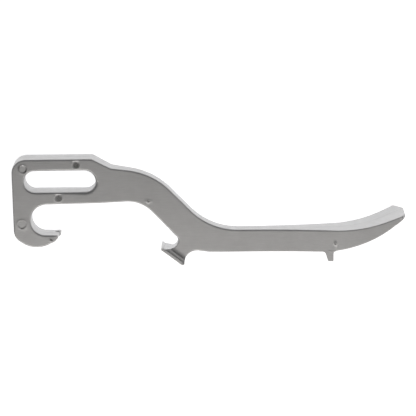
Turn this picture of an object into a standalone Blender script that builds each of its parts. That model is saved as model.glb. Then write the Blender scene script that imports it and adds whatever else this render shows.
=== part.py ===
"""Fire hydrant wrench: a universal fire-hose spanner cast in one piece of aluminium.

The outline is drawn in millimetres in the casting's own frame: X runs from the back of the head to
the pry tip, Y up the broad face from the handle's centre line, Z across the thickness from the
parting plane. The solid is that outline, cut to the width that the casting has at each X. The
finished casting then lies on its side on the plane Z = 0, where the broad pry end and the back
of the head touch.
"""

import math

import bmesh
import bpy
from mathutils import Matrix, Vector

MM = 0.001

# Overall
LENGTH = 279.9
HEAD_TOP = 63.0
HANDLE_TOP = 8.2
HANDLE_UNDERSIDE = -8.45

# Head: a frame with a long slot, and a lug hook below it
HEAD_LENGTH = 57.6
HEAD_CORNER_RADIUS = 10.6
HEAD_FRONT_RADIUS = 4.4
SHOULDER = (70.8, 55.6)
BAR_UNDERSIDE = 28.9
BAR_UNDERSIDE_AT_NECK = 30.0
SLOT_BACK = 8.8
SLOT_FRONT = 59.6
SLOT_BOTTOM = 38.35
SLOT_TOP = 54.05
SLOT_END_RADIUS = 7.8
LUG_HOOK_LIP = 6.5
LUG_HOOK_LIP_AT_TIP = 6.15
LUG_HOOK_BACK = (12.7, 12.4)  # X where the hook's inner back meets the bar, and the lip
LUG_HOOK_UPPER_RADIUS = 11.8
LUG_HOOK_LOWER_RADIUS = 10.5
LUG_HOOK_TIP = (33.1, 3.7)
LUG_HOOK_UNDERSIDE = (15.3, -6.9)
LUG_HOOK_UNDERSIDE_RADIUS = 19.0
LUG_HOOK_HEEL = (-0.4, 4.6)
LUG_HOOK_HEEL_RADIUS = 10.0

# Neck, sloping down from the head to the handle
NECK_CREST = (100.9, 50.8)
NECK_CREST_RADIUS = 50.0
NECK_MEETS_HANDLE = 141.2
NECK_HANDLE_RADIUS = 47.0
NECK_UNDER_BAR = 91.9
NECK_BAR_RADIUS = 24.0

# Small hook under the neck, with a foot that is wider than the neck
FOOT_TIP = Vector((105.3, -5.6))
FOOT_HEEL = Vector((121.8, -18.8))
FOOT_TIP_TOP = Vector((105.8, -3.6))
FOOT_HEEL_TOP = Vector((122.3, -15.3))
WEB_AT_HEEL = Vector((0.3, 1.2))  # how far the neck's web stops inside the foot
WEB_AT_TIP = Vector((0.6, 0.3))
HOOK_FLOOR_START = (108.0, -5.2)
HOOK_FLOOR_END = (115.8, -5.6)
HOOK_FLOOR_RADIUS = 5.0
HOOK_BACK = (118.2, 1.4)
HOOK_BACK_RADIUS = 4.4
HEEL_NOTCH = (123.1, -6.6)
HEEL_NOTCH_RADIUS = 9.0
NOTCH_MEETS_HANDLE = (140.5, -9.05)
NOTCH_HANDLE_RADIUS = 12.0

# Tooth under the handle, for a coupling's pin hole
TOOTH_ROOT_LEFT = 223.4
TOOTH_RIGHT = 229.6
TOOTH_RIGHT_ROOT = -8.0
TOOTH_TIP_WIDTH = 4.0
TOOTH_TIP = -15.5
TOOTH_TIP_RADIUS = 0.9

# Pry end
PRY_BEND_TOP = 248.8
PRY_BEND_TOP_RADIUS = 93.0
PRY_BEND_UNDER = (253.0, -5.3)
PRY_BEND_UNDER_RADIUS = 84.0
PRY_TIP_TOP = 21.7
PRY_TIP_EDGE = 2.3  # the chisel edge's thickness

# Widths across the parting plane, each as half of the full width
HEAD_HALF_WIDTH = 7.15
NECK_HALF_WIDTH = 4.6
FOOT_HALF_WIDTH = 8.2
PRY_HALF_WIDTH = 16.2
HEAD_TAPER_START = 60.0
HEAD_TAPER_START_RADIUS = 20.0
HEAD_TAPER_END = 84.0
HEAD_TAPER_END_RADIUS = 40.0
FLARE_START = 202.0
FLARE_RADIUS = 460.0
PRY_SIDE_END = 274.0
PRY_TIP_HALF_WIDTH = 16.6
PRY_UNDER_CLIP = 15.6  # the corner that is ground off the lower side of the chisel edge
PRY_UPPER_CLIP = 2.0

CUT_MARGIN = 2.0  # how far a cutting plate reaches past the casting

ARC_STEP = math.radians(6.0)
ARC_CHORD = 3.0
MERGE = 1e-6

CAST_COLOUR = (0.48, 0.475, 0.465, 1.0)


def clear_scene():
    for obj in list(bpy.data.objects):
        bpy.data.objects.remove(obj, do_unlink=True)


def new_collection(name):
    made = bpy.data.collections.new(name)
    bpy.context.scene.collection.children.link(made)
    return made


def cast_aluminium():
    material = bpy.data.materials.new("cast_aluminium")
    material.use_nodes = True
    shader = material.node_tree.nodes["Principled BSDF"]
    shader.inputs["Base Color"].default_value = CAST_COLOUR
    shader.inputs["Metallic"].default_value = 1.0
    shader.inputs["Roughness"].default_value = 0.45
    return material


def arc_at_corner(before, corner, after, radius):
    """The points of the arc that rounds one corner, from the line before it to the line after it."""
    to_before = (before - corner).normalized()
    to_after = (after - corner).normalized()
    half_angle = to_before.angle(to_after) / 2
    centre = corner + (to_before + to_after).normalized() * radius / math.sin(half_angle)
    start = corner + to_before * radius / math.tan(half_angle) - centre
    end = corner + to_after * radius / math.tan(half_angle) - centre
    sweep = math.atan2(start.cross(end), start.dot(end))
    steps = math.ceil(abs(sweep) / min(ARC_STEP, ARC_CHORD / radius))
    return [centre + Matrix.Rotation(sweep * i / steps, 2) @ start for i in range(steps + 1)]


def rounded(corners):
    """A closed outline through (x, y, radius) corners; a radius of 0 leaves a corner sharp."""
    points = [Vector(corner[:2]) for corner in corners]
    outline = []
    for i, (_, _, radius) in enumerate(corners):
        following = points[(i + 1) % len(points)]
        if radius:
            outline += arc_at_corner(points[i - 1], points[i], following, radius)
        else:
            outline.append(points[i])
    return outline


def plate(name, outlines, half_thickness, collection):
    """A flat plate of the outlines' shape; an outline inside another is a hole through it."""
    curve = bpy.data.curves.new(name, "CURVE")
    curve.dimensions = "2D"
    curve.fill_mode = "BOTH"
    curve.extrude = half_thickness * MM
    for outline in outlines:
        spline = curve.splines.new("POLY")
        spline.points.add(len(outline) - 1)
        for point, place in zip(spline.points, outline):
            point.co = (place.x * MM, place.y * MM, 0.0, 1.0)
        spline.use_cyclic_u = True
    drawn = bpy.data.objects.new(name + "_outline", curve)
    collection.objects.link(drawn)
    graph = bpy.context.evaluated_depsgraph_get()
    mesh = bpy.data.meshes.new_from_object(drawn.evaluated_get(graph))
    bpy.data.objects.remove(drawn, do_unlink=True)
    shell = bmesh.new()
    shell.from_mesh(mesh)
    bmesh.ops.remove_doubles(shell, verts=shell.verts, dist=MERGE)
    bmesh.ops.recalc_face_normals(shell, faces=shell.faces)
    shell.to_mesh(mesh)
    shell.free()
    mesh.name = name
    solid = bpy.data.objects.new(name, mesh)
    collection.objects.link(solid)
    return solid


def combine(target, other, operation):
    boolean = target.modifiers.new(other.name, "BOOLEAN")
    boolean.operation = operation
    boolean.object = other
    boolean.solver = "EXACT"
    other.hide_render = True
    other.display_type = "WIRE"


def side_outline():
    """The outline of the broad face, clockwise from the upper back corner of the head."""
    upper_edge = [
        (0.0, HEAD_TOP, HEAD_CORNER_RADIUS),
        (HEAD_LENGTH, HEAD_TOP, HEAD_FRONT_RADIUS),
        (*SHOULDER, 8.0),
        (*NECK_CREST, NECK_CREST_RADIUS),
        (NECK_MEETS_HANDLE, HANDLE_TOP, NECK_HANDLE_RADIUS),
        (PRY_BEND_TOP, HANDLE_TOP, PRY_BEND_TOP_RADIUS),
        (LENGTH, PRY_TIP_TOP, 0.0),
    ]
    pry_underside = [
        (LENGTH, PRY_TIP_TOP - PRY_TIP_EDGE, 0.0),
        (*PRY_BEND_UNDER, PRY_BEND_UNDER_RADIUS),
    ]
    tooth = [
        (TOOTH_RIGHT, TOOTH_RIGHT_ROOT, 2.0),
        (TOOTH_RIGHT, TOOTH_TIP, TOOTH_TIP_RADIUS),
        (TOOTH_RIGHT - TOOTH_TIP_WIDTH, TOOTH_TIP, TOOTH_TIP_RADIUS),
        (TOOTH_ROOT_LEFT, HANDLE_UNDERSIDE, 2.4),
    ]
    small_hook = [
        (*NOTCH_MEETS_HANDLE, NOTCH_HANDLE_RADIUS),
        (*HEEL_NOTCH, HEEL_NOTCH_RADIUS),
        (*(FOOT_HEEL + WEB_AT_HEEL), 1.0),
        (*(FOOT_TIP + WEB_AT_TIP), 0.2),
        (*HOOK_FLOOR_START, 0.8),
        (*HOOK_FLOOR_END, HOOK_FLOOR_RADIUS),
        (*HOOK_BACK, HOOK_BACK_RADIUS),
    ]
    lug_hook = [
        (NECK_UNDER_BAR, BAR_UNDERSIDE_AT_NECK, NECK_BAR_RADIUS),
        (LUG_HOOK_BACK[0], BAR_UNDERSIDE, LUG_HOOK_UPPER_RADIUS),
        (LUG_HOOK_BACK[1], LUG_HOOK_LIP, LUG_HOOK_LOWER_RADIUS),
        (LUG_HOOK_TIP[0], LUG_HOOK_LIP_AT_TIP, 0.5),
        (*LUG_HOOK_TIP, 0.9),
        (*LUG_HOOK_UNDERSIDE, LUG_HOOK_UNDERSIDE_RADIUS),
        (*LUG_HOOK_HEEL, LUG_HOOK_HEEL_RADIUS),
    ]
    return rounded(upper_edge + pry_underside + tooth + small_hook + lug_hook)


def slot_outline():
    return rounded(
        [
            (SLOT_BACK, SLOT_BOTTOM, SLOT_END_RADIUS),
            (SLOT_FRONT, SLOT_BOTTOM, SLOT_END_RADIUS),
            (SLOT_FRONT, SLOT_TOP, SLOT_END_RADIUS),
            (SLOT_BACK, SLOT_TOP, SLOT_END_RADIUS),
        ]
    )


def width_outline():
    """The casting seen along its broad face, X by Z: its width across the parting plane at each X."""
    upper_side = [
        (-CUT_MARGIN, HEAD_HALF_WIDTH, 0.0),
        (HEAD_TAPER_START, HEAD_HALF_WIDTH, HEAD_TAPER_START_RADIUS),
        (HEAD_TAPER_END, NECK_HALF_WIDTH, HEAD_TAPER_END_RADIUS),
        (FLARE_START, NECK_HALF_WIDTH, FLARE_RADIUS),
        (PRY_SIDE_END, PRY_HALF_WIDTH, 0.0),
    ]
    lower_side = [(x, -z, radius) for x, z, radius in reversed(upper_side)]
    chisel_edge = [
        (LENGTH - PRY_UPPER_CLIP, PRY_TIP_HALF_WIDTH, 0.0),
        (LENGTH, PRY_TIP_HALF_WIDTH - PRY_UPPER_CLIP, 0.0),
        (LENGTH, PRY_UNDER_CLIP - PRY_HALF_WIDTH, 0.0),
    ]
    return rounded(upper_side + chisel_edge + lower_side)


def foot_outline():
    return rounded(
        [
            (*FOOT_TIP, 0.5),
            (*FOOT_HEEL, 1.4),
            (*FOOT_HEEL_TOP, 0.4),
            (*FOOT_TIP_TOP, 0.6),
        ]
    )


def lay_down(casting, cutters, collection):
    """Tilts the casting until head and pry end both touch Z = 0, and centres it over the origin."""
    rest = bpy.data.objects.new("lying_on_its_side", None)
    collection.objects.link(rest)
    for obj in (casting, *cutters):
        obj.parent = rest
    drop = PRY_HALF_WIDTH - HEAD_HALF_WIDTH
    rest.rotation_euler.y = -math.atan2(drop, PRY_SIDE_END)
    bpy.context.view_layer.update()
    graph = bpy.context.evaluated_depsgraph_get()
    shape = casting.evaluated_get(graph)
    places = [shape.matrix_world @ vertex.co for vertex in shape.data.vertices]
    lowest = Vector(min(place[axis] for place in places) for axis in range(3))
    highest = Vector(max(place[axis] for place in places) for axis in range(3))
    centre = (lowest + highest) / 2
    rest.location = (-centre.x, -centre.y, -lowest.z)


def main():
    clear_scene()
    parts = new_collection("fire_hydrant_wrench")
    cutters = new_collection("cutters")

    reach = PRY_TIP_HALF_WIDTH + CUT_MARGIN
    casting = plate("spanner_casting", [side_outline(), slot_outline()], reach, parts)
    casting.data.materials.append(cast_aluminium())

    width = plate("casting_width", [width_outline()], LENGTH / 2, cutters)
    width.rotation_euler.x = math.radians(90.0)
    combine(casting, width, "INTERSECT")

    foot = plate("hook_foot", [foot_outline()], FOOT_HALF_WIDTH, cutters)
    combine(casting, foot, "UNION")

    lay_down(casting, (width, foot), parts)


main()
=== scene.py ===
"""Fire hydrant wrench: a universal fire-hose spanner cast in one piece of aluminium, on a pale table.

The casting is drawn in millimetres in its own frame: X runs from the back of the head to the pry
tip, Y up the broad face from the handle's centre line, Z across the thickness from the parting
plane. Its walls are swept round the outlines of the broad face and of the slot, and each broad
face is a height field that closes them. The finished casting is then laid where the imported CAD
solid lies.
"""

import math

import bpy
import numpy as np
from mathutils import Matrix, Vector, geometry, noise

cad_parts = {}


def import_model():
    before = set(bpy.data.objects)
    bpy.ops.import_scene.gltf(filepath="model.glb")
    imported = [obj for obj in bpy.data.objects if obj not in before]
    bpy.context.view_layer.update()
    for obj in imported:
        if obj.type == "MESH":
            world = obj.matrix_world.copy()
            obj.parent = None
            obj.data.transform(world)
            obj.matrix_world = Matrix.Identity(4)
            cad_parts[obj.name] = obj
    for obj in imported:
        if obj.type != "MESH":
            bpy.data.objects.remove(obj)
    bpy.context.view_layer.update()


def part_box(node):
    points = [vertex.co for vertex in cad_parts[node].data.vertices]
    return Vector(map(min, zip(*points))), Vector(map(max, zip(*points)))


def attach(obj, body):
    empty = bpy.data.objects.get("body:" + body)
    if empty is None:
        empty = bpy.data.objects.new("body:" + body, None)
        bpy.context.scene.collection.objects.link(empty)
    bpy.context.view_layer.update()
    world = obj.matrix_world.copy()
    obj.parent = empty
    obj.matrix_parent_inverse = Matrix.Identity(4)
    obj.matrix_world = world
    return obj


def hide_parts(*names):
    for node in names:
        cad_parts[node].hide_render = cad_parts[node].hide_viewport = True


MM = 0.001
CAD_NODE = "spanner_casting"

# Overall
LENGTH = 279.9
HEAD_TOP = 63.0
HANDLE_TOP = 8.2
HANDLE_UNDERSIDE = -8.45

# Head: a frame with a long slot, and a lug hook below it. Here and below, a pair of numbers is a
# corner (x, y), and a corner's radius is that of the arc that rounds it.
HEAD_LENGTH = 57.6
HEAD_CORNER_RADIUS = 10.6
HEAD_FRONT_RADIUS = 4.4
SHOULDER = (70.8, 55.6)
SHOULDER_RADIUS = 8.0
SLOT_BACK = 8.8
SLOT_FRONT = 59.6
SLOT_BOTTOM = 38.35
SLOT_TOP = 54.05
SLOT_END_RADIUS = 7.8
BAR_UNDERSIDE = 28.9
BAR_UNDERSIDE_AT_NECK = 30.0
LUG_HOOK_LIP = 6.5
LUG_HOOK_LIP_AT_TIP = 6.15
LUG_HOOK_BACK = (12.7, 12.4)  # X where the hook's inner back meets the bar, and the lip
LUG_HOOK_UPPER_RADIUS = 11.8
LUG_HOOK_LOWER_RADIUS = 10.5
LUG_HOOK_TIP = (33.1, 3.7)
LUG_HOOK_TIP_RADII = (0.5, 0.9)  # at the lip, and below it
LUG_HOOK_UNDERSIDE = (15.3, -6.9)
LUG_HOOK_UNDERSIDE_RADIUS = 19.0
LUG_HOOK_HEEL = (-0.4, 4.6)
LUG_HOOK_HEEL_RADIUS = 10.0

# The lug hook's tip stops short on the upper half of its thickness
TIP_STEP = 1.6
TIP_STEP_START = 28.5
TIP_STEP_LEVELS = (-0.8, 1.0)

# A stub that the gate left on the lip, near the tip, drawn out towards the hook's throat
STUB = Vector((31.3, 6.1, -2.9))
STUB_RADIUS = 1.6
STUB_HEIGHT = 0.9
STUB_TAIL = 1.0
STUB_ROOT = 0.3
STUB_RINGS = 7
STUB_POINTS = 24
# Painted shade at the stub's foot, a dark ring where the dome meets the lip
STUB_PAINTED_SHADE = 0.8
STUB_SHADE_FADE = (0.3, 0.8)  # the share of the height over which the painted shade gives out

# Neck, sloping down from the head to the handle
NECK_CREST = (100.9, 50.8)
NECK_CREST_RADIUS = 50.0
NECK_MEETS_HANDLE = 141.2
NECK_HANDLE_RADIUS = 47.0
NECK_UNDER_BAR = 91.9
NECK_BAR_RADIUS = 24.0

# Small hook under the neck, with a foot that is wider than the neck
FOOT_TIP = Vector((105.3, -5.6))
FOOT_TIP_RADIUS = 0.5
FOOT_HEEL = Vector((121.8, -18.8))
FOOT_HEEL_RADIUS = 1.4
FOOT_TIP_TOP = (105.8, -3.6)
FOOT_TIP_TOP_RADIUS = 0.6
FOOT_HEEL_TOP = (122.3, -15.3)
FOOT_HEEL_TOP_RADIUS = 2.0
HOOK_FLOOR_START = (108.0, -5.2)
HOOK_FLOOR_START_RADIUS = 0.8
HOOK_FLOOR_END = (115.8, -5.6)
HOOK_FLOOR_RADIUS = 5.0
HOOK_BACK = (118.2, 1.4)
HOOK_BACK_RADIUS = 4.4
HEEL_NOTCH = (123.1, -6.6)
HEEL_NOTCH_RADIUS = 9.0
NOTCH_MEETS_HANDLE = (140.5, HANDLE_UNDERSIDE - 0.6)
NOTCH_HANDLE_RADIUS = 12.0

# Tooth under the handle, for a coupling's pin hole
TOOTH_ROOT_LEFT = 223.4
TOOTH_LEFT_ROOT_RADIUS = 2.4
TOOTH_RIGHT = 229.6
TOOTH_RIGHT_ROOT = -8.0
TOOTH_RIGHT_ROOT_RADIUS = 2.0
TOOTH_TIP = -15.5
TOOTH_TIP_WIDTH = 4.0
TOOTH_TIP_RADIUS = 0.9

# Pry end
PRY_BEND_TOP = 248.8
PRY_BEND_TOP_RADIUS = 93.0
PRY_BEND_UNDER = (253.0, -5.3)
PRY_BEND_UNDER_RADIUS = 84.0
PRY_TIP_TOP = 21.7
PRY_TIP_EDGE = 2.3  # the chisel edge's thickness
PRY_TIP_RADIUS = 0.45

# Widths across the parting plane, each as half of the full width
HEAD_HALF_WIDTH = 7.15
NECK_HALF_WIDTH = 4.6
FOOT_HALF_WIDTH = 8.2
PRY_HALF_WIDTH = 16.2
PRY_TIP_HALF_WIDTH = 16.6
HEAD_TAPER_START = 60.0
HEAD_TAPER_START_RADIUS = 20.0
HEAD_TAPER_END = 84.0
HEAD_TAPER_END_RADIUS = 40.0
FLARE_START = 202.0
FLARE_RADIUS = 460.0
PRY_SIDE_END = 274.0
PRY_UPPER_CLIP = 2.0  # the chisel edge's corners: a small one off the upper side, a long one off the lower
PRY_UPPER_CLIP_SLOPE = 1.2
PRY_UPPER_CLIP_RADIUS = 0.5
PRY_UNDER_CLIP = 15.6
PRY_UNDER_CLIP_RADIUS = 0.8

# Edges and walls
EDGE = 1.15  # the radius between a wall and the upper broad face
LOWER_EDGE_SHARE = 0.5  # how much of that radius the lower broad face has
WORN_EDGE = 2.1  # at the slot's end, where valve keys have turned
SLOT_TOP_EDGE = 1.4 * EDGE
PRY_EDGE = 0.8
FINE_EDGE = 0.45
TIP_EDGE = 0.22
DRAFT = math.tan(math.radians(0.6))
FLASH_HEIGHT = 0.06
FLASH_HALF_WIDTH = 0.30
EDGE_STEPS = 6
WALL_STEPS = 3
EDGE_SUPPORT = 0.45  # how far past the edge a broad face's first ring lies, in edge radii
EDGE_EASE = 4  # how late along a straight run the edge radius changes
OUTLINE_STEP = 1.0
STEP_PER_EDGE = 2.5  # the longest outline step, in edge radii
SMALLEST_RADIUS = 0.01
ARC_STEP = math.radians(5.0)

# Broad faces
FACE_STEP = 2.4
WAVINESS = 0.05
WAVE_LENGTH = 11.0
NARROWEST_COLUMN = FACE_STEP / 4
WALL_CLEARANCE = FACE_STEP / 2
DETAIL_CLEARANCE = FACE_STEP / 3
FOOT_CLEARANCE = 0.3
MARK_CLEARANCE = 0.35
CROSSING_DISTANCE = 1e-6


def left_of(direction):
    return Vector((-direction.y, direction.x))


def turned(direction, angle):
    return Matrix.Rotation(angle, 2) @ direction


def corner_arc(before, corner, after, radius):
    """Start, start direction and signed sweep of the arc that rounds one corner."""
    arriving = (corner - before).normalized()
    leaving = (after - corner).normalized()
    sweep = math.atan2(arriving.cross(leaving), arriving.dot(leaving))
    start = corner - arriving * radius * math.tan(abs(sweep) / 2)
    return start, arriving, sweep


def arc_samples(start, direction, sweep, radius, edge):
    side = math.copysign(1.0, sweep)
    centre = start + left_of(direction) * side * radius
    longest = min(ARC_STEP, OUTLINE_STEP / max(radius, SMALLEST_RADIUS))
    steps = max(2, math.ceil(abs(sweep) / longest))
    samples = []
    for i in range(steps + 1):
        heading = turned(direction, sweep * i / steps)
        outward = left_of(heading)
        samples.append((centre - outward * side * radius, outward, edge))
    return samples


def outline_samples(corners):
    """Samples (place, outward normal, edge radius) round a closed outline of corners (x, y, corner
    radius, edge radius), with the outside on the left of the way round."""
    places = [Vector(corner[:2]) for corner in corners]
    arcs = []
    for i, (_, _, radius, edge) in enumerate(corners):
        following = places[(i + 1) % len(places)]
        start, direction, sweep = corner_arc(places[i - 1], places[i], following, radius)
        arcs.append(arc_samples(start, direction, sweep, radius, edge))
    samples = []
    for arc, following in zip(arcs, arcs[1:] + arcs[:1]):
        samples += arc
        here, outward, edge = arc[-1]
        there, _, next_edge = following[0]
        spacing = min(OUTLINE_STEP, STEP_PER_EDGE * max(edge, next_edge, TIP_EDGE))
        steps = math.ceil((there - here).length / spacing)
        for i in range(1, steps):
            share = i / steps
            here_edge = edge + (next_edge - edge) * share**EDGE_EASE
            samples.append((here.lerp(there, share), outward, here_edge))
    return samples


def side_outline():
    """The outline of the broad face, clockwise from the upper back corner of the head."""
    upper_edge = [
        (0.0, HEAD_TOP, HEAD_CORNER_RADIUS, EDGE),
        (HEAD_LENGTH, HEAD_TOP, HEAD_FRONT_RADIUS, EDGE),
        (*SHOULDER, SHOULDER_RADIUS, EDGE),
        (*NECK_CREST, NECK_CREST_RADIUS, EDGE),
        (NECK_MEETS_HANDLE, HANDLE_TOP, NECK_HANDLE_RADIUS, EDGE),
        (PRY_BEND_TOP, HANDLE_TOP, PRY_BEND_TOP_RADIUS, PRY_EDGE),
        (LENGTH, PRY_TIP_TOP, PRY_TIP_RADIUS, TIP_EDGE),
    ]
    pry_underside = [
        (LENGTH, PRY_TIP_TOP - PRY_TIP_EDGE, PRY_TIP_RADIUS, TIP_EDGE),
        (*PRY_BEND_UNDER, PRY_BEND_UNDER_RADIUS, PRY_EDGE),
    ]
    tooth = [
        (TOOTH_RIGHT, TOOTH_RIGHT_ROOT, TOOTH_RIGHT_ROOT_RADIUS, FINE_EDGE),
        (TOOTH_RIGHT, TOOTH_TIP, TOOTH_TIP_RADIUS, FINE_EDGE),
        (TOOTH_RIGHT - TOOTH_TIP_WIDTH, TOOTH_TIP, TOOTH_TIP_RADIUS, FINE_EDGE),
        (TOOTH_ROOT_LEFT, HANDLE_UNDERSIDE, TOOTH_LEFT_ROOT_RADIUS, FINE_EDGE),
    ]
    small_hook = [
        (*NOTCH_MEETS_HANDLE, NOTCH_HANDLE_RADIUS, EDGE),
        (*HEEL_NOTCH, HEEL_NOTCH_RADIUS, EDGE),
        (*FOOT_HEEL_TOP, FOOT_HEEL_TOP_RADIUS, FINE_EDGE),
        (*FOOT_HEEL, FOOT_HEEL_RADIUS, FINE_EDGE),
        (*FOOT_TIP, FOOT_TIP_RADIUS, TIP_EDGE),
        (*FOOT_TIP_TOP, FOOT_TIP_TOP_RADIUS, TIP_EDGE),
        (*HOOK_FLOOR_START, HOOK_FLOOR_START_RADIUS, TIP_EDGE),
        (*HOOK_FLOOR_END, HOOK_FLOOR_RADIUS, FINE_EDGE),
        (*HOOK_BACK, HOOK_BACK_RADIUS, EDGE),
    ]
    lug_hook = [
        (NECK_UNDER_BAR, BAR_UNDERSIDE_AT_NECK, NECK_BAR_RADIUS, EDGE),
        (LUG_HOOK_BACK[0], BAR_UNDERSIDE, LUG_HOOK_UPPER_RADIUS, EDGE),
        (LUG_HOOK_BACK[1], LUG_HOOK_LIP, LUG_HOOK_LOWER_RADIUS, EDGE),
        (LUG_HOOK_TIP[0], LUG_HOOK_LIP_AT_TIP, LUG_HOOK_TIP_RADII[0], TIP_EDGE),
        (*LUG_HOOK_TIP, LUG_HOOK_TIP_RADII[1], FINE_EDGE),
        (*LUG_HOOK_UNDERSIDE, LUG_HOOK_UNDERSIDE_RADIUS, EDGE),
        (*LUG_HOOK_HEEL, LUG_HOOK_HEEL_RADIUS, EDGE),
    ]
    return outline_samples(upper_edge + pry_underside + tooth + small_hook + lug_hook)


def slot_outline():
    """The outline of the slot, anticlockwise."""
    return outline_samples(
        [
            (SLOT_BACK, SLOT_BOTTOM, SLOT_END_RADIUS, EDGE),
            (SLOT_FRONT, SLOT_BOTTOM, SLOT_END_RADIUS, WORN_EDGE),
            (SLOT_FRONT, SLOT_TOP, SLOT_END_RADIUS, SLOT_TOP_EDGE),
            (SLOT_BACK, SLOT_TOP, SLOT_END_RADIUS, EDGE),
        ]
    )


def rounded_profile(corners):
    """X and height arrays of an open line of corners (x, height, radius), with its bends rounded."""
    places = [Vector(corner[:2]) for corner in corners]
    points = [places[0]]
    for i in range(1, len(corners) - 1):
        radius = corners[i][2]
        if radius:
            start, direction, sweep = corner_arc(places[i - 1], places[i], places[i + 1], radius)
            points += [place for place, _, _ in arc_samples(start, direction, sweep, radius, 0.0)]
        else:
            points.append(places[i])
    points.append(places[-1])
    return np.array([point.x for point in points]), np.array([point.y for point in points])


def width_profiles():
    """How far the upper and the lower broad face lie from the parting plane, along X."""
    casting = [
        (-EDGE, HEAD_HALF_WIDTH, 0.0),
        (HEAD_TAPER_START, HEAD_HALF_WIDTH, HEAD_TAPER_START_RADIUS),
        (HEAD_TAPER_END, NECK_HALF_WIDTH, HEAD_TAPER_END_RADIUS),
        (FLARE_START, NECK_HALF_WIDTH, FLARE_RADIUS),
    ]
    upper_tip = [
        (PRY_SIDE_END, PRY_HALF_WIDTH, 0.0),
        (LENGTH - PRY_UPPER_CLIP, PRY_TIP_HALF_WIDTH, PRY_UPPER_CLIP_RADIUS),
        (LENGTH, PRY_TIP_HALF_WIDTH - PRY_UPPER_CLIP_SLOPE * PRY_UPPER_CLIP, 0.0),
    ]
    lower_tip = [
        (PRY_SIDE_END, PRY_HALF_WIDTH, PRY_UNDER_CLIP_RADIUS),
        (LENGTH, PRY_HALF_WIDTH - PRY_UNDER_CLIP, 0.0),
    ]
    return {1: rounded_profile(casting + upper_tip), -1: rounded_profile(casting + lower_tip)}


WIDTH_PROFILES = width_profiles()

# The foot comes down to the neck's broad faces in two steps: corners (distance from the sole, half
# width, radius) of its profile
FOOT_ALONG = (FOOT_HEEL - FOOT_TIP).normalized()
FOOT_UP = left_of(FOOT_ALONG)
FOOT_LIP = 2.3
FOOT_REACH = 5.4
FOOT_ROW_STEP = 0.15
FOOT_POINT_STEP = 0.4
FOOT_PROFILE = rounded_profile(
    [
        (0.0, FOOT_HALF_WIDTH, 0.0),
        (FOOT_LIP, FOOT_HALF_WIDTH, 0.3),
        (FOOT_LIP + 0.3, 7.0, 0.15),
        (4.3, 6.8, 0.3),
        (4.75, 4.75, 0.3),
        (FOOT_REACH, NECK_HALF_WIDTH, 0.0),
    ]
)
FOOT_REGION = (FOOT_TIP.x - 3.0, FOOT_HEEL.x + 6.0)  # from before its tip to behind its heel

# Ejector-pin marks on the upper broad face: x, y, radius, depth, the heading that the pin leans to,
# and how much shade is painted in the recess and round its rim
EJECTOR_MARKS = [
    (8.2, 55.9, 3.0, 0.12, math.radians(-25), 0.0, 1.0),
    (46.3, 58.8, 2.9, 0.30, math.radians(110), 0.75, 0.0),
    (32.9, 34.4, 2.9, 0.30, math.radians(120), 0.6, 0.0),
    (6.1, 14.8, 3.4, 0.05, math.radians(-80), 0.0, 0.45),
    (26.7, 2.8, 1.1, 0.35, math.radians(0), 1.0, 0.0),
    (96.9, 30.4, 1.0, 0.30, math.radians(0), 0.7, 0.0),
    (230.8, -1.9, 0.75, 0.22, math.radians(0), 0.8, 0.0),
]
MARK_RIM = 0.14
MARK_POINTS = 30

# These are shares of a mark's radius: the rings of points, the recess's wall, the rim's outer
# side, and where the painted shade in the recess and round the rim begins and ends
MARK_RINGS = (0.25, 0.45, 0.62, 0.75, 0.88, 1.0, 1.12, 1.3)
MARK_WALL = (0.85, 1.0)
MARK_RIM_SIDE = (1.0, 1.25)
RECESS_SHADE_SHIFT = 0.25
RECESS_SHADE_END = (0.5, 0.9)
RIM_SHADE_RANGE = (0.5, 1.3)
RIM_SHADE_START = (0.6, 0.85)
RIM_SHADE_END = (1.0, 1.2)

# Painted shade in the ejector-pin marks, made patchy by noise
SHADE_PATCH = 0.9
SHADE_MEAN = 0.8
SHADE_VARIATION = 0.8
# Painted shade along the parting seam, a dark line where the walls meet
SEAM_PAINTED_SHADE = 0.35


def smooth_step(start, end, value):
    share = min(max((value - start) / (end - start), 0.0), 1.0)
    return share * share * (3.0 - 2.0 * share)


def mark_relief(place):
    """Height of the ejector-pin marks: a pin that stood a little low and askew, in a ring of flash."""
    height = 0.0
    for x, y, radius, depth, heading, _, _ in EJECTOR_MARKS:
        across = place - Vector((x, y))
        reach = across.length / radius
        if reach < MARK_RINGS[-1]:
            lean = across.dot(turned(Vector((1.0, 0.0)), heading)) / radius
            inside = 1.0 - smooth_step(*MARK_WALL, reach)
            rim = smooth_step(*MARK_WALL, reach) * (1.0 - smooth_step(*MARK_RIM_SIDE, reach))
            height += rim * MARK_RIM - inside * depth * (1.0 + lean)
    return height


def painted_mark_shade(place):
    """How much shade is painted at a place on the upper broad face, from 0 to 1: in an ejector-pin
    mark, away from the side that the pin leans to, and on two sides of its rim."""
    cloud = noise.noise(Vector((place.x, place.y, 0.0)) / SHADE_PATCH)
    patchy = SHADE_MEAN + SHADE_VARIATION * cloud
    painted_shade = 0.0
    for x, y, radius, _, heading, inside, rim in EJECTOR_MARKS:
        lean = turned(Vector((1.0, 0.0)), heading)
        across = (place - Vector((x, y))) / radius
        reach = across.length
        from_middle = (across + RECESS_SHADE_SHIFT * lean).length
        painted_shade = max(painted_shade, inside * patchy * (1.0 - smooth_step(*RECESS_SHADE_END, from_middle)))
        if RIM_SHADE_RANGE[0] < reach < RIM_SHADE_RANGE[1]:
            facing = across.normalized().dot(lean) ** 2
            ring = smooth_step(*RIM_SHADE_START, reach) * (1.0 - smooth_step(*RIM_SHADE_END, reach))
            painted_shade = max(painted_shade, rim * facing * ring * patchy)
    return min(painted_shade, 1.0)


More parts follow.
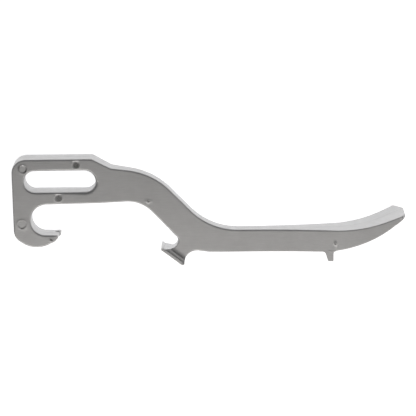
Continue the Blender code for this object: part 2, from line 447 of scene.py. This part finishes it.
def painted_shade_at(x, y, height):
    """The painted shade on the casting: in the marks on the upper face, and along the parting seam."""
    if height > FLASH_HALF_WIDTH:
        return painted_mark_shade(Vector((x, y)))
    # Vertices on the parting line get the seam's painted shade
    return SEAM_PAINTED_SHADE if height == 0.0 else 0.0


def foot_width(place):
    """Half the foot's width at a place on the broad face, or 0 away from the foot."""
    above = (place - FOOT_TIP).dot(FOOT_UP)
    if not FOOT_REGION[0] < place.x < FOOT_REGION[1] or above >= FOOT_REACH:
        return 0.0
    return float(np.interp(above, *FOOT_PROFILE))


def half_width(place, side):
    """Distance from the parting plane to the upper (side 1) or lower (side -1) broad face."""
    drawn = float(np.interp(place.x, *WIDTH_PROFILES[side]))
    wave = noise.noise(Vector((place.x, place.y, side * LENGTH)) / WAVE_LENGTH)
    width = max(drawn, foot_width(place)) - WAVINESS * (1.0 + wave) / 2
    return width + mark_relief(place) if side > 0 else width


def climb(sample, side):
    """(place, height) levels of the wall at one outline sample, from the flash to the broad face."""
    place, outward, edge = sample
    worn = min(edge / EDGE, 1.0)
    if side < 0:
        edge *= LOWER_EDGE_SHARE
    flash = FLASH_HEIGHT * worn**2
    width = half_width(place - outward * (edge + flash), side)
    wall_top = width - edge
    steps = [(flash, FLASH_HALF_WIDTH)]
    for i in range(1, WALL_STEPS + 1):
        height = FLASH_HALF_WIDTH + (wall_top - FLASH_HALF_WIDTH) * i / WALL_STEPS
        steps.append((flash + DRAFT * worn * height, height))
    wall_inset = steps[-1][0]
    for i in range(1, EDGE_STEPS + 1):
        angle = math.radians(90) * i / EDGE_STEPS
        inset = wall_inset + edge * (1.0 - math.cos(angle))
        steps.append((inset, wall_top + edge * math.sin(angle)))
    levels = [(place - outward * inset, side * height) for inset, height in steps]
    support = place - outward * (wall_inset + edge * (1.0 + EDGE_SUPPORT))
    return levels + [(support, side * half_width(support, side))]


def add_wall(samples, vertices, faces):
    """Sweeps the wall round one outline. Returns its upper and lower rings of vertex numbers."""
    columns = []
    for sample in samples:
        parting_line = [(sample[0], 0.0)]
        levels = climb(sample, 1)[::-1] + parting_line + climb(sample, -1)
        columns.append(range(len(vertices), len(vertices) + len(levels)))
        vertices += [(place.x, place.y, height) for place, height in levels]
    for here, there in zip(columns, columns[1:] + columns[:1]):
        for k in range(len(here) - 1):
            faces.append((here[k], there[k], there[k + 1], here[k + 1]))
    return [column[0] for column in columns], [column[-1] for column in columns]


def inside_rings(points, rings):
    """Which points lie between the outer ring and the ones inside it, by counting crossings."""
    inside = np.zeros(len(points), bool)
    for ring in rings:
        for (ax, ay), (bx, by) in zip(ring, np.roll(ring, -1, axis=0)):
            if ay != by:
                crosses = (points[:, 1] >= min(ay, by)) & (points[:, 1] < max(ay, by))
                meets = ax + (points[:, 1] - ay) / (by - ay) * (bx - ax)
                inside ^= crosses & (points[:, 0] < meets)
    return inside


def clear_of(points, others, distance):
    """Which points are further than a distance from every one of the others."""
    gaps = np.linalg.norm(points[:, None, :] - np.array(others)[None, :, :], axis=2)
    return gaps.min(axis=1) > distance


def mark_points():
    points = []
    for x, y, radius, *_ in EJECTOR_MARKS:
        points.append((x, y))
        for share in MARK_RINGS:
            reach = share * radius
            for i in range(MARK_POINTS):
                angle = 2 * math.pi * i / MARK_POINTS
                points.append((x + reach * math.cos(angle), y + reach * math.sin(angle)))
    return np.array(points)


def foot_rows():
    """Rows of points along the foot and up its steps."""
    length = (FOOT_HEEL - FOOT_TIP).length
    steps = round(length / FOOT_POINT_STEP)
    rows = []
    for height in np.arange(FOOT_LIP - 2 * FOOT_ROW_STEP, FOOT_REACH + FOOT_ROW_STEP, FOOT_ROW_STEP):
        start = FOOT_TIP + FOOT_UP * height
        rows.append([start + FOOT_ALONG * length * i / steps for i in range(steps + 1)])
    return rows


def grid_points(side):
    """Points all over the broad face, in columns that fall on the width profile's bends."""
    bends = [x for x in WIDTH_PROFILES[side][0] if x > 0.0]
    columns = [0.0]
    for bend in bends:
        steps = max(1, math.ceil((bend - columns[-1]) / FACE_STEP))
        if bend - columns[-1] > NARROWEST_COLUMN:
            columns += list(np.linspace(columns[-1], bend, steps + 1)[1:])
    rows = np.arange(TOOTH_TIP, HEAD_TOP, FACE_STEP)
    return np.array([(x, y) for x in columns for y in rows])


def add_broad_face(rings, side, vertices, faces):
    """Closes one broad face with triangles between the walls' rings and points on the face."""
    ring_places = [np.array([vertices[i][:2] for i in ring]) for ring in rings]
    all_ring_places = np.vstack(ring_places)
    known = [i for ring in rings for i in ring]
    edges = []
    for ring in rings:
        first = known.index(ring[0])
        edges += [(first + i, first + (i + 1) % len(ring)) for i in range(len(ring))]

    added = []
    for row in foot_rows():
        places = np.array(row)
        kept = inside_rings(places, ring_places) & clear_of(places, all_ring_places, FOOT_CLEARANCE)
        for i, place in enumerate(places):
            if kept[i]:
                if i and kept[i - 1]:
                    edges.append((len(known) + len(added) - 1, len(known) + len(added)))
                added.append(tuple(place))
    details = list(added)
    if side > 0:
        marks = mark_points()
        kept = inside_rings(marks, ring_places) & clear_of(marks, all_ring_places, MARK_CLEARANCE)
        details += [tuple(place) for place in marks[kept]]
    grid = grid_points(side)
    grid = grid[inside_rings(grid, ring_places) & clear_of(grid, all_ring_places, WALL_CLEARANCE)]
    grid = grid[clear_of(grid, details, DETAIL_CLEARANCE)]
    added = details + [tuple(place) for place in grid]

    flat = [Vector(place) for place in np.vstack([all_ring_places, np.array(added)])]
    closed = geometry.delaunay_2d_cdt(flat, edges, [], 0, CROSSING_DISTANCE)
    places, _, triangles, origins, _, _ = closed
    if len(places) != len(flat):
        raise ValueError("the broad face's points cross each other")
    numbers = known + list(range(len(vertices), len(vertices) + len(added)))
    vertices += [(x, y, side * half_width(Vector((x, y)), side)) for x, y in added]
    centres = np.array([sum((places[i] for i in t), Vector((0, 0))) / 3 for t in triangles])
    for triangle, wanted in zip(triangles, inside_rings(centres, ring_places)):
        if wanted:
            corners = [numbers[origins[i][0]] for i in triangle]
            faces.append(corners if side > 0 else corners[::-1])


def lay_down():
    """The casting's frame, tilted until the head and the wide pry end both touch the table, as a
    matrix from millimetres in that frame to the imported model's frame."""
    tilt = math.atan2(PRY_HALF_WIDTH - HEAD_HALF_WIDTH, PRY_SIDE_END)
    low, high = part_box(CAD_NODE)
    back = min(place.x for place, _, _ in side_outline())
    origin = Vector(
        (
            low.x + (HEAD_HALF_WIDTH * math.sin(tilt) - back) * MM,
            high.y - HEAD_TOP * MM,
            low.z + HEAD_HALF_WIDTH * MM * math.cos(tilt),
        )
    )
    return Matrix.Translation(origin) @ Matrix.Rotation(-tilt, 4, "Y") @ Matrix.Scale(MM, 4)


def shorten_hook_tip(vertices):
    """Pulls back the lug hook's tip on the upper half of its thickness."""
    for i, (x, y, height) in enumerate(vertices):
        if TIP_STEP_START < x < LUG_HOOK_TIP[0] + EDGE and y < LUG_HOOK_LIP + EDGE:
            along = smooth_step(TIP_STEP_START, LUG_HOOK_TIP[0], x)
            vertices[i] = (x - TIP_STEP * along * smooth_step(*TIP_STEP_LEVELS, height), y, height)


def add_gate_stub(vertices, faces):
    """Adds the stub as a low dome sunk in the lip. Returns its vertices' painted shade, most at its foot.
    """
    first = len(vertices)
    painted_shade = []
    for i in range(STUB_RINGS):
        climbed = math.radians(90) * i / STUB_RINGS
        for k in range(STUB_POINTS):
            angle = 2 * math.pi * k / STUB_POINTS
            tail = 1.0 + STUB_TAIL * max(-math.cos(angle), 0.0) ** 2 * (1.0 - math.sin(climbed))
            reach = STUB_RADIUS * math.cos(climbed)
            along, across = reach * tail * math.cos(angle), reach * math.sin(angle)
            rise = (STUB_HEIGHT + STUB_ROOT) * math.sin(climbed) - STUB_ROOT
            vertices.append((STUB.x + along, STUB.y + rise, STUB.z + across))
            # Painted shade, darkest at the stub's foot and fading up its side
            painted_shade.append(STUB_PAINTED_SHADE * (1.0 - smooth_step(*STUB_SHADE_FADE, math.sin(climbed))))
    for i in range(STUB_RINGS - 1):
        low = first + i * STUB_POINTS
        high = low + STUB_POINTS
        for k in range(STUB_POINTS):
            following = (k + 1) % STUB_POINTS
            faces.append((low + k, high + k, high + following, low + following))
    top_ring = range(first + (STUB_RINGS - 1) * STUB_POINTS, first + STUB_RINGS * STUB_POINTS)
    vertices.append(tuple(STUB + Vector((0.0, STUB_HEIGHT, 0.0))))
    painted_shade.append(0.0)
    for k, here in enumerate(top_ring):
        faces.append((here, len(vertices) - 1, top_ring[(k + 1) % STUB_POINTS]))
    faces.append(range(first, first + STUB_POINTS))
    return painted_shade


def cast_body(material):
    vertices, faces = [], []
    outer = add_wall(side_outline(), vertices, faces)
    slot = add_wall(slot_outline(), vertices, faces)
    add_broad_face([outer[0], slot[0]], 1, vertices, faces)
    add_broad_face([outer[1], slot[1]], -1, vertices, faces)
    shorten_hook_tip(vertices)
    # Painted shade per vertex: in the marks, along the seam and at the stub's foot
    painted_shade = [painted_shade_at(*vertex) for vertex in vertices]
    painted_shade += add_gate_stub(vertices, faces)
    mesh = bpy.data.meshes.new("wrench_casting")
    mesh.from_pydata(vertices, [], faces)
    mesh.attributes.new("painted_shade", "FLOAT", "POINT").data.foreach_set("value", painted_shade)
    mesh.transform(lay_down())
    mesh.materials.append(material)
    mesh.shade_smooth()
    body = bpy.data.objects.new("wrench_casting", mesh)
    bpy.context.scene.collection.objects.link(body)
    return body


# Materials ---------------------------------------------------------------------------------------

# The scales are in cycles per metre, and a streak runs along the casting. The ranges are the part of
# a noise texture's values that is spread over the whole change.
NOISE_RANGE = (0.3, 0.7)
BARE_METAL_TONES = ((0.618, 0.618, 0.622, 1.0), (0.660, 0.660, 0.665, 1.0))
CLOUD_SCALE = 95.0
STREAK_TONE = (0.54, 0.54, 0.545, 1.0)
STREAK_SCALE = (60.0, 1500.0, 1500.0)
STREAK_RANGE = (0.35, 0.75)
STREAK_STRENGTH = 0.35
# The colour of the painted shade
PAINTED_SHADE_TONE = (0.17, 0.165, 0.16, 1.0)
ROUGHNESS = (0.47, 0.55)
DULLNESS_SCALE = 260.0
GRAIN_SCALE = 1800.0
GRAIN_STRENGTH = 0.25
GRAIN_DEPTH = 0.0001

TABLE_TONE = (0.86, 0.86, 0.86, 1.0)
TABLE_ROUGHNESS = 0.8
TABLE_GLOW = 0.85
WHITE = (1.0, 1.0, 1.0, 1.0)


def new_material(name):
    material = bpy.data.materials.new(name)
    material.use_nodes = True
    tree = material.node_tree
    return material, tree, tree.nodes["Principled BSDF"]


def noise_texture(tree, coordinates, scale, detail, roughness=0.5):
    texture = tree.nodes.new("ShaderNodeTexNoise")
    texture.inputs["Scale"].default_value = scale
    texture.inputs["Detail"].default_value = detail
    texture.inputs["Roughness"].default_value = roughness
    tree.links.new(coordinates, texture.inputs["Vector"])
    return texture.outputs["Fac"]


def stretched(tree, coordinates, scale):
    mapping = tree.nodes.new("ShaderNodeMapping")
    mapping.inputs["Scale"].default_value = scale
    tree.links.new(coordinates, mapping.inputs["Vector"])
    return mapping.outputs["Vector"]


def mixed_colour(tree, share, first, second):
    """A colour between two others; each of them is a colour or a socket."""
    mix = tree.nodes.new("ShaderNodeMix")
    mix.data_type = "RGBA"
    tree.links.new(share, mix.inputs["Factor"])
    for socket, colour in ((mix.inputs["A"], first), (mix.inputs["B"], second)):
        if isinstance(colour, tuple):
            socket.default_value = colour
        else:
            tree.links.new(colour, socket)
    return mix.outputs["Result"]


def ranged(tree, value, low, high, to_low, to_high):
    """A value brought from one range to another, and held inside it."""
    map_range = tree.nodes.new("ShaderNodeMapRange")
    tree.links.new(value, map_range.inputs["Value"])
    ends = (("From Min", low), ("From Max", high), ("To Min", to_low), ("To Max", to_high))
    for name, end in ends:
        map_range.inputs[name].default_value = end
    return map_range.outputs["Result"]


def cast_aluminium():
    material, tree, shader = new_material("cast_aluminium")
    coordinates = tree.nodes.new("ShaderNodeTexCoord").outputs["Object"]
    shader.inputs["Metallic"].default_value = 1.0

    clouds = noise_texture(tree, coordinates, CLOUD_SCALE, detail=4.0, roughness=0.6)
    colour = mixed_colour(tree, ranged(tree, clouds, *NOISE_RANGE, 0.0, 1.0), *BARE_METAL_TONES)
    streaks = noise_texture(tree, stretched(tree, coordinates, STREAK_SCALE), 1.0, detail=2.0)
    streaks = ranged(tree, streaks, *STREAK_RANGE, 0.0, STREAK_STRENGTH)
    colour = mixed_colour(tree, streaks, colour, STREAK_TONE)
    # Painted shade, read from the vertices' attribute, darkens the base colour
    painted_shade = tree.nodes.new("ShaderNodeAttribute")
    painted_shade.attribute_name = "painted_shade"
    colour = mixed_colour(tree, painted_shade.outputs["Fac"], colour, PAINTED_SHADE_TONE)
    tree.links.new(colour, shader.inputs["Base Color"])

    dullness = noise_texture(tree, coordinates, DULLNESS_SCALE, detail=3.0)
    dullness = ranged(tree, dullness, *NOISE_RANGE, *ROUGHNESS)
    tree.links.new(dullness, shader.inputs["Roughness"])

    grain = noise_texture(tree, coordinates, GRAIN_SCALE, detail=3.0)
    bump = tree.nodes.new("ShaderNodeBump")
    bump.inputs["Strength"].default_value = GRAIN_STRENGTH
    bump.inputs["Distance"].default_value = GRAIN_DEPTH
    tree.links.new(grain, bump.inputs["Height"])
    tree.links.new(bump.outputs["Normal"], shader.inputs["Normal"])
    return material


def table_top():
    material, _, shader = new_material("table_top")
    shader.inputs["Base Color"].default_value = TABLE_TONE
    shader.inputs["Roughness"].default_value = TABLE_ROUGHNESS
    shader.inputs["Emission Color"].default_value = WHITE
    shader.inputs["Emission Strength"].default_value = TABLE_GLOW
    return material


# Studio ------------------------------------------------------------------------------------------

# The camera looks down at the broad face, leaning back from the plane's normal towards the upper edge
CAMERA_AIM = Vector((146.0, 23.2, 0.0))
CAMERA_DISTANCE = 1286.9
CAMERA_LEAN = math.radians(17.5)
CAMERA_ROLL = math.radians(0.7)
CAMERA_LENS = 154.9
CAMERA_SHIFT = -0.0216

FLOOR_SIZE = 24.0
WORLD_STRENGTH = 0.14
LAMP_COLOUR = (1.0, 0.97, 0.93)
SOFTBOXES = [  # name, location, target, size, power
    ("front_softbox", (-0.12, -0.40, 0.38), (-0.03, 0.0, 0.0), (0.55, 0.25), 0.98),
    ("side_softbox", (0.30, -0.12, 0.45), (-0.08, 0.0, 0.0), (0.3, 0.3), 0.30),
]


def add_camera(casting_frame):
    data = bpy.data.cameras.new("camera")
    data.lens = CAMERA_LENS
    data.shift_x = CAMERA_SHIFT
    camera = bpy.data.objects.new("camera", data)
    bpy.context.scene.collection.objects.link(camera)
    aimed = Matrix.Translation(CAMERA_AIM) @ Matrix.Rotation(-CAMERA_ROLL, 4, "Z")
    leaning = aimed @ Matrix.Rotation(-CAMERA_LEAN, 4, "X")
    place = casting_frame @ leaning @ Matrix.Translation((0.0, 0.0, CAMERA_DISTANCE))
    location, rotation, _ = place.decompose()
    camera.matrix_world = Matrix.LocRotScale(location, rotation, None)
    bpy.context.scene.camera = camera


def add_softbox(name, location, target, size, power):
    data = bpy.data.lights.new(name, "AREA")
    data.shape = "RECTANGLE"
    data.size, data.size_y = size
    data.energy = power
    data.color = LAMP_COLOUR
    light = bpy.data.objects.new(name, data)
    bpy.context.scene.collection.objects.link(light)
    light.location = location
    light.rotation_mode = "QUATERNION"
    light.rotation_quaternion = (Vector(target) - Vector(location)).to_track_quat("-Z", "Y")


def add_floor():
    mesh = bpy.data.meshes.new("floor")
    half = FLOOR_SIZE / 2
    corners = [(-half, -half, 0), (half, -half, 0), (half, half, 0), (-half, half, 0)]
    mesh.from_pydata(corners, [], [(0, 1, 2, 3)])
    mesh.materials.append(table_top())
    floor = bpy.data.objects.new("floor", mesh)
    bpy.context.scene.collection.objects.link(floor)


def add_studio():
    scene = bpy.context.scene
    scene.view_settings.view_transform = "Standard"
    world = bpy.data.worlds.new("studio")
    world.use_nodes = True
    background = world.node_tree.nodes["Background"]
    background.inputs["Color"].default_value = WHITE
    background.inputs["Strength"].default_value = WORLD_STRENGTH
    scene.world = world
    for softbox in SOFTBOXES:
        add_softbox(*softbox)
    add_floor()


def main():
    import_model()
    body = cast_body(cast_aluminium())
    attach(body, "root")
    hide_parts(CAD_NODE)
    add_camera(lay_down())
    add_studio()


main()
